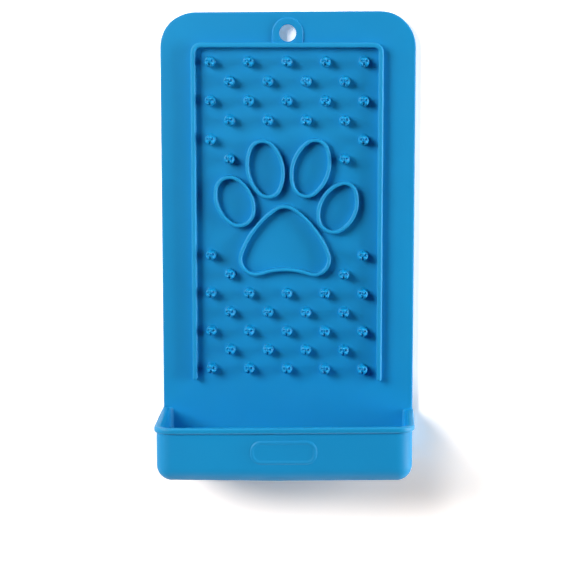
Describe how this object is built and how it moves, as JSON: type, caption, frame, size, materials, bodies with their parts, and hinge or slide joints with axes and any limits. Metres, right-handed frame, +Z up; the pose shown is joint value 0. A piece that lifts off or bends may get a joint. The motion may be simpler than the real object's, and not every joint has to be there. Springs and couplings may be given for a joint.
{
  "type": "wall lick mat",
  "caption": "Upright silicone lick mat with a field of nubs round a raised paw figure, a hanging hole at the top and an open catch trough along the bottom.",
  "frame": {"origin": "axis of the hanging hole at the back face of the panel", "axes": "+Z up along the height of the mat, +Y towards the wall it hangs on, +X to the right as seen from the front"},
  "size_m": [0.141, 0.0565, 0.2515],
  "materials": {
    "silicone": "matt"
  },
  "bodies": {
    "root": {"back_panel": "silicone", "hanging_tab": "silicone", "surround_ridge": "silicone", "nub_row_01": "silicone", "nub_row_02": "silicone", "nub_row_03": "silicone", "nub_row_04": "silicone", "nub_row_05": "silicone", "nub_row_06": "silicone", "nub_row_07": "silicone", "nub_row_08": "silicone", "nub_row_09": "silicone", "nub_row_10": "silicone", "nub_row_11": "silicone", "nub_row_12": "silicone", "nub_row_13": "silicone", "toe_ring_outer_left": "silicone", "toe_ring_inner_left": "silicone", "toe_ring_inner_right": "silicone", "toe_ring_outer_right": "silicone", "palm_ring": "silicone", "catch_trough": "silicone", "trough_rim": "silicone", "badge_plate": "silicone", "suction_row_1": "silicone", "suction_row_2": "silicone", "suction_row_3": "silicone", "suction_row_4": "silicone", "suction_row_5": "silicone"}
  },
  "joints": []
}
